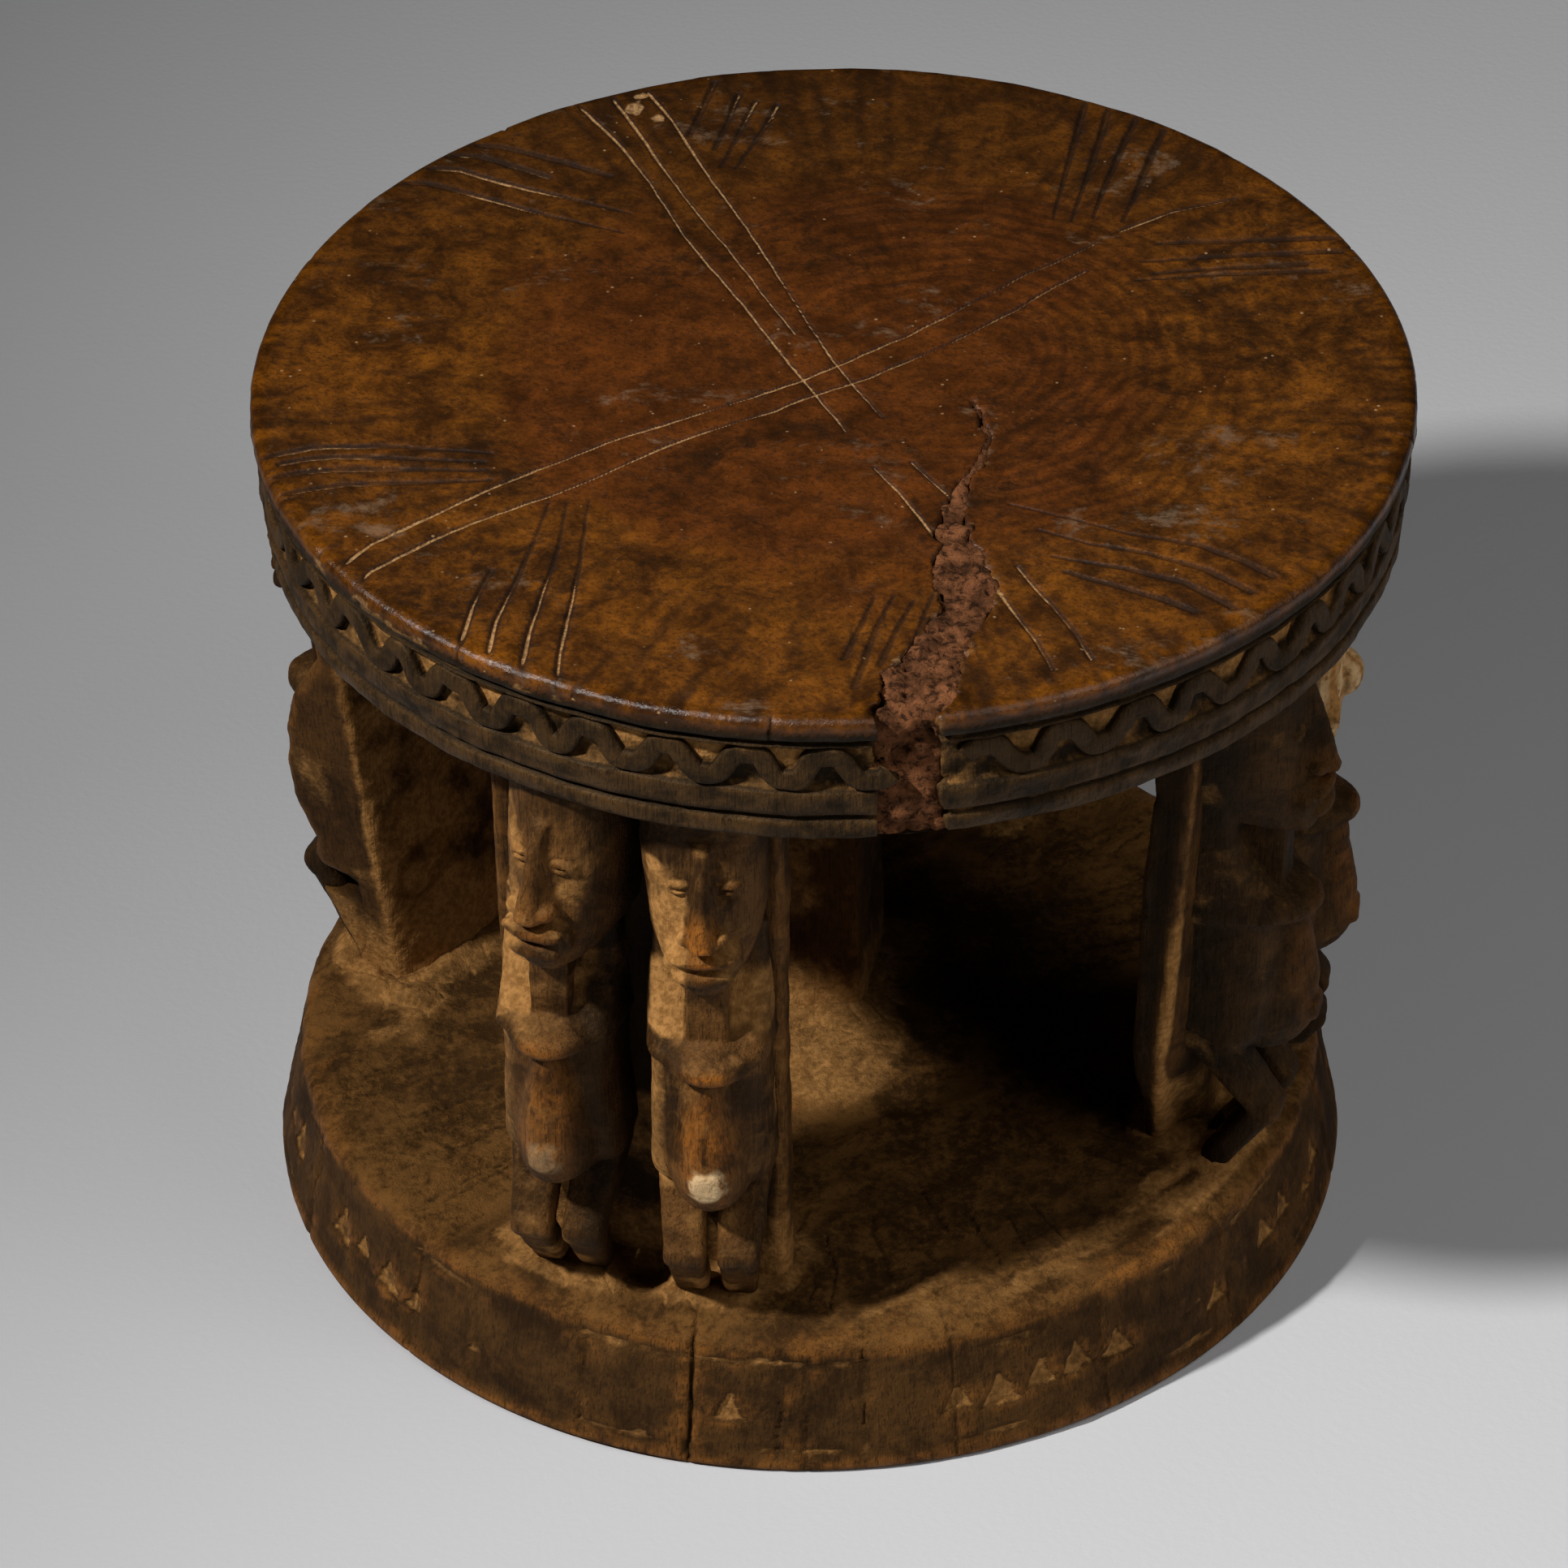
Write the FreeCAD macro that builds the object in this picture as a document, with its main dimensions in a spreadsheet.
import FreeCAD, Part
import os
import re
from FreeCAD import Placement, Rotation, Vector
from Sketcher import Constraint

# A round carved stool: a seat on four leaning panels and a squared centre post, two relief
# figures on each panel, and a base. Origin: centre of the underside of the base. +Z is up.

# Driving dimensions: name, value in millimetres or degrees, meaning.
SIZES = [
    ("base_radius", 153, "foot of the base"),
    ("base_top_radius", 145.5, "upper end of the leaning side of the base"),
    ("base_height", 40, "base, floor to upper face"),
    ("base_edge", 3, "worn upper edge of the base"),
    ("base_foot_edge", 2, "worn lower edge of the base"),
    ("stand_height", 177, "clear height between base and seat"),
    ("seat_radius", 156, "lip of the seat"),
    ("seat_low_radius", 153, "lower edge of the seat"),
    ("seat_shift", 8, "seat centre beside the base centre, along +X"),
    ("seat_edge", 2, "worn lower edge of the seat"),
    ("lip_height", 7, "polished lip"),
    ("lip_round", 2, "worn upper edge of the lip"),
    ("groove_height", 2, "groove under the lip and line between the plain bands"),
    ("groove_depth", 2, "depth of those two"),
    ("low_band_height", 6, "plain band at the lower edge of the seat"),
    ("band_height", 8, "plain band under the zigzag"),
    ("zigzag_height", 15, "band with the zigzag"),
    ("zigzag_depth", 2.5, "hollows beside the zigzag"),
    ("zigzag_ridge", 3, "half width of the zigzag along the band"),
    ("zigzag_tip", 2.5, "zigzag beyond the tip of a hollow"),
    ("zigzag_count", 46, "waves around the seat"),
    ("crack_side", 40, "inner end of the drying crack beside the seat centre, along +X"),
    ("crack_front", 27, "the same, in front of the seat centre"),
    ("crack_angle", -98.5, "direction that the crack runs to the rim"),
    ("crack_width", 22, "crack one seat radius from its inner end"),
    ("crack_tip", 2, "crack at its inner end"),
    ("fill_drop", 1.5, "earth below the seat face and inside the rim"),
    ("cut_clearance", 6, "how far a cut runs past the surface it opens"),
    ("post_side", 38, "side of the squared centre post"),
    ("post_turn", -12, "direction that one post face looks"),
    ("post_back", 16, "post behind the base centre, along +Y"),
    ("front_inset", 27.5, "outer face of the front panel at its foot, inside the base edge"),
    ("right_inset", 23, "the same of the right panel"),
    ("back_inset", 27.5, "the same of the back panel"),
    ("left_inset", 31, "the same of the left panel"),
    ("front_foot_width", 76, "front panel at the base"),
    ("front_middle_width", 78, "front panel at the flare"),
    ("front_head_width", 80, "front panel at the seat"),
    ("right_foot_width", 42, "right panel at the base"),
    ("right_middle_width", 92, "right panel at the flare"),
    ("right_head_width", 84, "right panel at the seat"),
    ("back_foot_width", 60, "back panel at the base"),
    ("back_middle_width", 84, "back panel at the flare"),
    ("back_head_width", 88, "back panel at the seat"),
    ("left_foot_width", 78, "left panel at the base"),
    ("left_middle_width", 92, "left panel at the flare"),
    ("left_head_width", 112, "left panel at the seat"),
    ("flare_level", 45, "where the flare of a panel ends, above the base"),
    ("panel_foot_thickness", 17, "panel at the base, inner face to outer face"),
    ("panel_head_thickness", 11, "panel at the seat, the same"),
    ("panel_lean", 5, "panel top further out than its foot"),
    ("front_place_angle", -112, "direction of the front pair"),
    ("front_facing_angle", -107, "direction that it looks"),
    ("right_place_angle", -21, "direction of the right pair"),
    ("right_facing_angle", -19, "direction that it looks"),
    ("back_place_angle", 70, "direction of the back pair"),
    ("back_facing_angle", 64, "direction that it looks"),
    ("left_place_angle", 157, "direction of the left pair"),
    ("left_facing_angle", 145, "direction that it looks"),
    ("figure_back", 8, "how far a figure is roughed out behind the panel face"),
    ("figure_a_turn", 12, "first figure of a pair, turned from the way its panel looks"),
    ("figure_b_turn", 1, "second figure of a pair, the same"),
    ("figure_gap", 5, "between the shoulders of a pair"),
    ("brow_drop", 25, "brow below the seat"),
    ("face_height", 25, "lips below the brow"),
    ("chin_height", 10, "chin below the lips"),
    ("hip_level", 50, "underside of the belly above the base"),
    ("navel_height", 9, "navel above the underside of the belly"),
    ("chest_height", 29, "chest above the navel"),
    ("shoulder_height", 18, "shoulders above the chest"),
    ("nape_height", 9, "upper end of the sloping shoulders, above them"),
    ("collar_drop", 12, "ends of the collar below the shoulders"),
    ("knee_level", 25, "knees above the base"),
    ("crown_half_width", 16, "head where it meets the seat"),
    ("crown_reach", 17, "the same, out from the panel"),
    ("brow_inset", 0.5, "face at the brow, inside the shoulders on each side"),
    ("brow_reach", 20, "the same, out from the panel"),
    ("mouth_half_width", 12.5, "face at the lips"),
    ("mouth_reach", 26, "the same, out from the panel"),
    ("chin_half_width", 7.5, "chin"),
    ("chin_reach", 25, "the same, out from the panel"),
    ("neck_half_width", 7, "neck under the chin"),
    ("neck_reach", 15, "the same, out from the panel"),
    ("shoulder_half_width", 17, "shoulders"),
    ("shoulder_reach", 14, "the same, out from the panel"),
    ("chest_half_width", 13, "chest"),
    ("chest_reach", 23, "the same, out from the panel"),
    ("belly_half_width", 14, "belly at the navel"),
    ("belly_reach", 33, "the same, out from the panel"),
    ("hip_half_width", 12, "underside of the belly"),
    ("hip_reach", 28, "the same, out from the panel"),
    ("navel_radius", 4.5, "worn navel disc"),
    ("navel_rise", 1.5, "navel disc out from the belly"),
    ("nose_length", 30, "bridge to tip"),
    ("nose_drop", 18, "nose tip below the brow"),
    ("nose_reach", 30, "nose tip out from the panel"),
    ("nose_half_width", 6.5, "nose at the tip"),
    ("bridge_half_width", 2.5, "nose at the bridge"),
    ("lip_half_width", 7, "lips"),
    ("lips_height", 6, "lips"),
    ("lips_reach", 28.5, "lips out from the panel"),
    ("collar_radius", 13, "sweep of the collar"),
    ("collar_tube", 3.5, "half thickness of the collar"),
    ("collar_sag_angle", 8, "collar tipped down in front"),
    ("collar_reach", 13, "collar ends out from the panel"),
    ("leg_spread", 7, "each leg beside the middle of its figure"),
    ("leg_half_width", 4.5, "leg, side to side"),
    ("leg_depth", 11, "leg, front to back"),
    ("thigh_reach", 22, "thigh front out from the panel at the hip"),
    ("knee_reach", 25, "knee out from the panel"),
    ("foot_reach", 14, "foot out from the panel"),
    ("break_reach", 12, "broken face, out from the panel"),
]
NAMES = {name for name, value, meaning in SIZES}

# Sizes that follow from others.
SEAT_THICKNESS = "(low_band_height + band_height + zigzag_height + lip_height + 2 * groove_height)"
SEAT_LEVEL = "(base_height + stand_height)"
SPACING = "(2 * shoulder_half_width + figure_gap)"

# Levels of a figure above the base: the head hangs from the seat, the body stands on the base.
BROW = "(stand_height - brow_drop)"
MOUTH = "(stand_height - brow_drop - face_height)"
CHIN = "(stand_height - brow_drop - face_height - chin_height)"
HIP = "hip_level"
NAVEL = "(hip_level + navel_height)"
CHEST = "(hip_level + navel_height + chest_height)"
SHOULDER = "(hip_level + navel_height + chest_height + shoulder_height)"
NAPE = "(hip_level + navel_height + chest_height + shoulder_height + nape_height)"
COLLAR = "(hip_level + navel_height + chest_height + shoulder_height - collar_drop)"

# Outline of a carved cross-section, as shares of its half width and of its reach.
FACETS = [(1.0, 0.0), (1.0, 0.38), (0.74, 0.78), (0.30, 1.0)]

# Half turn that stands a wedge's long axis up and points its depth away from the panel.
STAND_UP = Rotation(Vector(0, 1, 1), 180)

doc = FreeCAD.newDocument("stool")
sheet = doc.addObject("Spreadsheet::Sheet", "Sizes")
for row, (name, value, meaning) in enumerate(SIZES, start=1):
    sheet.set(f"A{row}", str(value))
    sheet.setAlias(f"A{row}", name)
    sheet.set(f"B{row}", meaning)
doc.recompute()


def linked(expression):
    """The expression with every size name pointing at its cell."""
    def point(match):
        word = match.group(0)
        return f"Sizes.{word}" if word in NAMES else word
    return re.sub(r"[a-z_]+", point, str(expression))


def bind(thing, **expressions):
    """Tie properties of an object to the sheet."""
    for prop, expression in expressions.items():
        thing.setExpression(prop, linked(expression))


def place(thing, x="0", y="0", z="0", turn="0"):
    """Tie an object's place, and its turn about the vertical, to the sheet."""
    spot = f"vector({x}; {y}; {z})"
    bind(thing, Placement=f"placement({spot}; rotation(vector(0; 0; 1); {turn}))")


def drive(sketch, constraint, expression):
    """Add a constraint whose value follows the sheet."""
    index = sketch.addConstraint(constraint)
    sketch.setExpression(f"Constraints[{index}]", linked(expression))


def worth(expression):
    """Present value of an expression of sizes."""
    return float(sheet.evalExpression(str(expression)))


def closed_lines(sketch, corners):
    """Draw a closed chain of straight lines through the corners, joined end to end."""
    count = len(corners)
    first = sketch.GeometryCount
    for index, corner in enumerate(corners):
        sketch.addGeometry(Part.LineSegment(corner, corners[(index + 1) % count]))
    for index in range(count):
        sketch.addConstraint(Constraint("Coincident", first + index, 2, first + (index + 1) % count, 1))
    return first


def outline(sketch, corners):
    """Draw a closed outline through corners given as pairs of expressions, none of them negative."""
    first = closed_lines(sketch, [Vector(worth(x), worth(y), 0) for x, y in corners])
    for index, (x, y) in enumerate(corners):
        line = first + index
        if x == "0":
            sketch.addConstraint(Constraint("PointOnObject", line, 1, -2))
        else:
            drive(sketch, Constraint("DistanceX", -1, 1, line, 1, worth(x)), x)
        if y == "0":
            sketch.addConstraint(Constraint("PointOnObject", line, 1, -1))
        else:
            drive(sketch, Constraint("DistanceY", -1, 1, line, 1, worth(y)), y)


def make_body(name):
    return doc.addObject("PartDesign::Body", name)


def upright_sketch(body, name):
    """A sketch on the body's own XZ plane."""
    sketch = body.newObject("Sketcher::SketchObject", name)
    plane = next(item for item in body.Origin.OriginFeatures if item.Role == "XZ_Plane")
    sketch.AttachmentSupport = [(plane, "")]
    sketch.MapMode = "FlatFace"
    return sketch


def upright_axis(body):
    return next(item for item in body.Origin.OriginFeatures if item.Role == "Z_Axis")


def turned_body(name, corners):
    """A body turned about the vertical axis from a half profile."""
    body = make_body(name)
    sketch = upright_sketch(body, name + "_profile")
    outline(sketch, corners)
    turned = body.newObject("PartDesign::Revolution", name + "_turned")
    turned.Profile = sketch
    turned.ReferenceAxis = (sketch, ["V_Axis"])
    turned.Angle = 360
    doc.recompute()
    return body


def frustum(name, low, high, bottom, top):
    """A block with a rectangle at each end, each given as (left, right, inner, outer)."""
    block = doc.addObject("Part::Wedge", name)
    block.Placement = Placement(Vector(), STAND_UP)
    left, right, inner, outer = low
    bind(block, Ymin=bottom, Xmin=left, Xmax=right, Zmin=inner, Zmax=outer)
    left, right, inner, outer = high
    bind(block, Ymax=top, X2min=left, X2max=right, Z2min=inner, Z2max=outer)
    return block


def lean_at(level):
    """How far the leaning panel face has come out at a level above the base."""
    return f"panel_lean * ({level}) / stand_height"


def section(name, level, half_width, reach):
    """A faceted cross-section that starts behind the leaning panel face."""
    sketch = doc.addObject("Sketcher::SketchObject", name)
    wide = worth(half_width)
    far = worth(reach)
    back = worth("figure_back")
    right = [Vector(wide * x, back + far * y if y else 0, 0) for x, y in FACETS]
    left = [Vector(-corner.x, corner.y, 0) for corner in reversed(right)]
    first = closed_lines(sketch, right + left)
    last = first + 2 * len(FACETS) - 1
    for index, (x, y) in enumerate(FACETS):
        corner = first + index
        sketch.addConstraint(Constraint("Symmetric", corner, 1, last - index, 1, -2))
        drive(sketch, Constraint("DistanceX", -1, 1, corner, 1, wide * x), f"{half_width} * {x}")
        if y == 0:
            sketch.addConstraint(Constraint("PointOnObject", corner, 1, -1))
        else:
            out = f"figure_back + {reach} * {y}"
            drive(sketch, Constraint("DistanceY", -1, 1, corner, 1, back + far * y), out)
    place(sketch, y=f"{lean_at(level)} - figure_back", z=level)
    return sketch


def carved(name, levels):
    """A carved mass through named cross-sections: (level, half width, reach) from the top down."""
    mass = doc.addObject("Part::Loft", name)
    mass.Sections = [section(f"{name}_{index}", *level) for index, level in enumerate(levels)]
    mass.Solid = True
    mass.Ruled = True
    return mass


def copy_of(form, label):
    """A sub-part with the same shape as a form that was built once."""
    part = doc.addObject("Part::Compound", label)
    part.Links = [form]
    return part


def make_base():
    return turned_body("base_disc", [
        ("0", "0"),
        ("base_radius - base_foot_edge", "0"),
        ("base_radius", "base_foot_edge"),
        ("base_top_radius", "base_height - base_edge"),
        ("base_top_radius - base_edge", "base_height"),
        ("0", "base_height"),
    ])


def cut_zigzag(body):
    """Two rows of triangular hollows that leave a zigzag standing around the seat."""
    sketch = upright_sketch(body, "zigzag_hollows")
    bind(sketch, **{"AttachmentOffset.Base.z": "seat_low_radius - zigzag_depth"})
    pitch = "(2 * pi * seat_radius / zigzag_count)"
    low = "(low_band_height + groove_height + band_height)"
    top = f"({low} + zigzag_height)"
    outline(sketch, [
        ("zigzag_ridge", top),
        (f"{pitch} - zigzag_ridge", top),
        (f"{pitch} / 2", f"{low} + zigzag_tip"),
    ])
    outline(sketch, [
        (f"{pitch} / 2 + zigzag_ridge", low),
        (f"{pitch} * 3 / 2 - zigzag_ridge", low),
        (pitch, f"{top} - zigzag_tip"),
    ])
    doc.recompute()
    plain = body.Shape.Volume
    hollows = body.newObject("PartDesign::Pocket", "zigzag_pocket")
    hollows.Profile = sketch
    hollows.Reversed = True
    bind(hollows, Length="seat_radius - seat_low_radius + zigzag_depth + cut_clearance")
    doc.recompute()
    ring = body.newObject("PartDesign::PolarPattern", "zigzag_ring")
    ring.Originals = [hollows]
    ring.Axis = (upright_axis(body), [""])
    ring.Angle = 360
    bind(ring, Occurrences="zigzag_count")
    body.Tip = ring
    doc.recompute()
    if body.Shape.Volume >= plain:
        raise RuntimeError("the zigzag hollows cut nothing")


def crack_wedge(name, height):
    """The crack's room: a thin wedge that opens towards the rim of the seat."""
    wedge = doc.addObject("Part::Wedge", name)
    bind(wedge, Xmin="-crack_tip / 2", Xmax="crack_tip / 2")
    bind(wedge, X2min="-crack_width / 2", X2max="crack_width / 2")
    bind(wedge, Ymin="0", Ymax="seat_radius + cut_clearance")
    bind(wedge, Zmin="0", Zmax=height, Z2min="0", Z2max=height)
    place(wedge, x="seat_shift + crack_side", y="-crack_front", z=SEAT_LEVEL, turn="crack_angle - 90")
    return wedge


def make_seat():
    line = "low_band_height"
    band = "low_band_height + groove_height"
    groove = "low_band_height + groove_height + band_height + zigzag_height"
    lip = f"{groove} + groove_height"
    body = turned_body("seat_blank", [
        ("0", "0"),
        ("seat_low_radius - seat_edge", "0"),
        ("seat_low_radius", "seat_edge"),
        ("seat_low_radius", line),
        ("seat_low_radius - groove_depth", f"{line} + groove_height / 2"),
        ("seat_low_radius", band),
        ("seat_radius", groove),
        ("seat_radius - groove_depth", f"{groove} + groove_height / 2"),
        ("seat_radius", lip),
        ("seat_radius", f"{SEAT_THICKNESS} - lip_round"),
        ("seat_radius - lip_round", SEAT_THICKNESS),
        ("0", SEAT_THICKNESS),
    ])
    cut_zigzag(body)
    place(body, x="seat_shift", z=SEAT_LEVEL)
    seat = doc.addObject("Part::Cut", "seat_disc")
    seat.Base = body
    seat.Tool = crack_wedge("crack_room", SEAT_THICKNESS)
    return seat


def make_crack_fill():
    rounded = doc.addObject("Part::Cylinder", "fill_round")
    bind(rounded, Radius="seat_low_radius - fill_drop", Height=SEAT_THICKNESS)
    place(rounded, x="seat_shift", z=SEAT_LEVEL)
    fill = doc.addObject("Part::Common", "crack_fill")
    fill.Base = rounded
    fill.Tool = crack_wedge("fill_room", f"{SEAT_THICKNESS} - fill_drop")
    return fill


def make_post():
    post = doc.addObject("Part::Box", "centre_post")
    bind(post, Length="post_side", Width="post_side", Height="stand_height")
    half = "post_side / 2"
    along = f"({half}) * (sin(post_turn) - cos(post_turn))"
    across = f"post_back - ({half}) * (sin(post_turn) + cos(post_turn))"
    place(post, x=along, y=across, z="base_height", turn="post_turn")
    return post


def panel_form(side):
    """A leaning slab whose foot is the narrowest part: a block that flares and a block above it."""
    def slice_at(level, width):
        taper = f"(panel_foot_thickness - panel_head_thickness) * {level} / stand_height"
        face = lean_at(level)
        return (f"-{width} / 2", f"{width} / 2", f"{face} - panel_foot_thickness + {taper}", face)

    foot = slice_at("0", f"{side}_foot_width")
    middle = slice_at("flare_level", f"{side}_middle_width")
    head = slice_at("stand_height", f"{side}_head_width")
    slab = doc.addObject("Part::MultiFuse", f"{side}_slab")
    slab.Shapes = [
        frustum(f"{side}_flare", foot, middle, "0", "flare_level"),
        frustum(f"{side}_rise", middle, head, "flare_level", "stand_height"),
    ]
    slab.Refine = True
    return slab


def nose_form():
    """A long wedge: narrow at the bridge, broad and far out at the tip."""
    tip = f"({BROW} - nose_drop)"
    bridge = f"({tip} + nose_length)"
    low = ("-nose_half_width", "nose_half_width", lean_at(tip), f"{lean_at(tip)} + nose_reach")
    high = ("-bridge_half_width", "bridge_half_width", lean_at(bridge), f"{lean_at(bridge)} + brow_reach")
    return frustum("nose", low, high, tip, bridge)


def lips_form():
    low = f"({MOUTH} - lips_height / 2)"
    high = f"({MOUTH} + lips_height / 2)"
    depth = ("-lip_half_width", "lip_half_width", lean_at(low), f"{lean_at(low)} + lips_reach")
    return frustum("lips", depth, depth, low, high)


def collar_form():
    """Half a ring, its ends at the shoulders and its front tipped down on the chest."""
    collar = doc.addObject("Part::Torus", "collar")
    bind(collar, Radius1="collar_radius", Radius2="collar_tube")
    collar.Angle3 = 180
    spot = f"vector(0; {lean_at(COLLAR)} + collar_reach; {COLLAR})"
    bind(collar, Placement=f"placement({spot}; rotation(vector(1; 0; 0); -collar_sag_angle))")
    return collar


def navel_form():
    navel = doc.addObject("Part::Cylinder", "navel")
    bind(navel, Radius="navel_radius", Height="belly_reach + navel_rise")
    spot = f"vector(0; {lean_at(NAVEL)}; {NAVEL})"
    bind(navel, Placement=f"placement({spot}; rotation(vector(1; 0; 0); -90))")
    return navel


def leg_forms(side, sign):
    """One bent leg: a thigh from under the belly out to the knee and a shin back in to the foot."""
    middle = f"{sign} * leg_spread"
    sides = (f"{middle} - leg_half_width", f"{middle} + leg_half_width")

    def slice_at(level, reach):
        front = f"{lean_at(level)} + {reach}"
        return (*sides, f"{front} - leg_depth", front)

    foot = slice_at("0", "foot_reach")
    knee = slice_at("knee_level", "knee_reach")
    hip_top = f"({HIP} + leg_half_width)"
    hip = slice_at(hip_top, "thigh_reach")
    shin = frustum(f"{side}_shin", foot, knee, "0", "knee_level")
    thigh = frustum(f"{side}_thigh", knee, hip, "knee_level", hip_top)
    return [shin, thigh]


def rough_figure():
    """One relief figure standing on the base, roughed out to behind the panel face."""
    head = carved("head", [
        ("stand_height", "crown_half_width", "crown_reach"),
        (BROW, "(shoulder_half_width - brow_inset)", "brow_reach"),
        (MOUTH, "mouth_half_width", "mouth_reach"),
        (CHIN, "chin_half_width", "chin_reach"),
    ])
    neck = carved("neck", [
        (MOUTH, "neck_half_width", "neck_reach"),
        (SHOULDER, "neck_half_width", "neck_reach"),
    ])
    trunk = carved("trunk", [
        (NAPE, "neck_half_width", "neck_reach"),
        (SHOULDER, "shoulder_half_width", "shoulder_reach"),
        (CHEST, "chest_half_width", "chest_reach"),
        (NAVEL, "belly_half_width", "belly_reach"),
        (HIP, "hip_half_width", "hip_reach"),
    ])
    figure = doc.addObject("Part::MultiFuse", "rough_figure")
    details = [nose_form(), lips_form(), collar_form(), navel_form()]
    figure.Shapes = [head, neck, trunk, *details, *leg_forms("left", -1), *leg_forms("right", 1)]
    return figure


def seated_figure(name, rough, turn):
    """The figure turned on its feet and cut off at the panel face."""
    turned = copy_of(rough, f"{name}_turned")
    place(turned, turn=turn)
    room = ("-2 * shoulder_half_width", "2 * shoulder_half_width")
    low = (*room, "-2 * figure_back", "0")
    high = (*room, "panel_lean - 2 * figure_back", "panel_lean")
    figure = doc.addObject("Part::Cut", name)
    figure.Base = turned
    figure.Tool = frustum(f"{name}_panel", low, high, "0", "stand_height")
    return figure


def broken_figure(figure):
    """A figure with its face split off along the grain, from the chin up."""
    room = ("-2 * shoulder_half_width", "2 * shoulder_half_width")
    low = (*room, f"{lean_at(CHIN)} + break_reach", "panel_lean + belly_reach + nose_reach")
    high = (*room, "panel_lean + break_reach", "panel_lean + belly_reach + nose_reach")
    broken = doc.addObject("Part::Cut", "broken_figure")
    broken.Base = figure
    broken.Tool = frustum("lost_face", low, high, CHIN, "stand_height")
    return broken


def make_support(side, figure_a, figure_b):
    """One panel with its pair of figures, set round the base and turned the way it looks."""
    angle = f"{side}_place_angle"
    facing = f"{side}_facing_angle"
    radius = f"(base_top_radius - {side}_inset)"
    shapes = [("panel", panel_form(side), "0"), ("figure_a", figure_a, "-0.5"), ("figure_b", figure_b, "0.5")]
    parts = []
    for suffix, form, share in shapes:
        part = copy_of(form, f"{side}_{suffix}")
        beside = f"{share} * {SPACING}"
        x = f"{radius} * cos({angle}) + {beside} * sin({facing})"
        y = f"{radius} * sin({angle}) - {beside} * cos({facing})"
        place(part, x=x, y=y, z="base_height", turn=f"{facing} - 90")
        parts.append(part)
    return parts


base = make_base()
seat = make_seat()
crack_fill = make_crack_fill()
post = make_post()
rough = rough_figure()
figure_a = seated_figure("first_figure", rough, "figure_a_turn")
figure_b = seated_figure("second_figure", rough, "figure_b_turn")
broken = broken_figure(figure_a)
sub_parts = [base, seat, crack_fill, post]
for side in ("front", "right", "back", "left"):
    sub_parts += make_support(side, broken if side == "right" else figure_a, figure_b)
doc.recompute()

for thing in doc.Objects:
    if "Invalid" in thing.State or "Error" in thing.State:
        raise RuntimeError(f"{thing.Label} did not build: {thing.State}")
for part in sub_parts:
    if part.Shape.isNull() or not part.Shape.isValid():
        raise RuntimeError(f"{part.Label} has no valid shape")
    if len(part.Shape.Solids) != 1:
        raise RuntimeError(f"{part.Label} is {len(part.Shape.Solids)} solids")

os.makedirs("parts", exist_ok=True)
for part in sub_parts:
    part.Shape.exportStep(f"parts/{part.Label}.step")
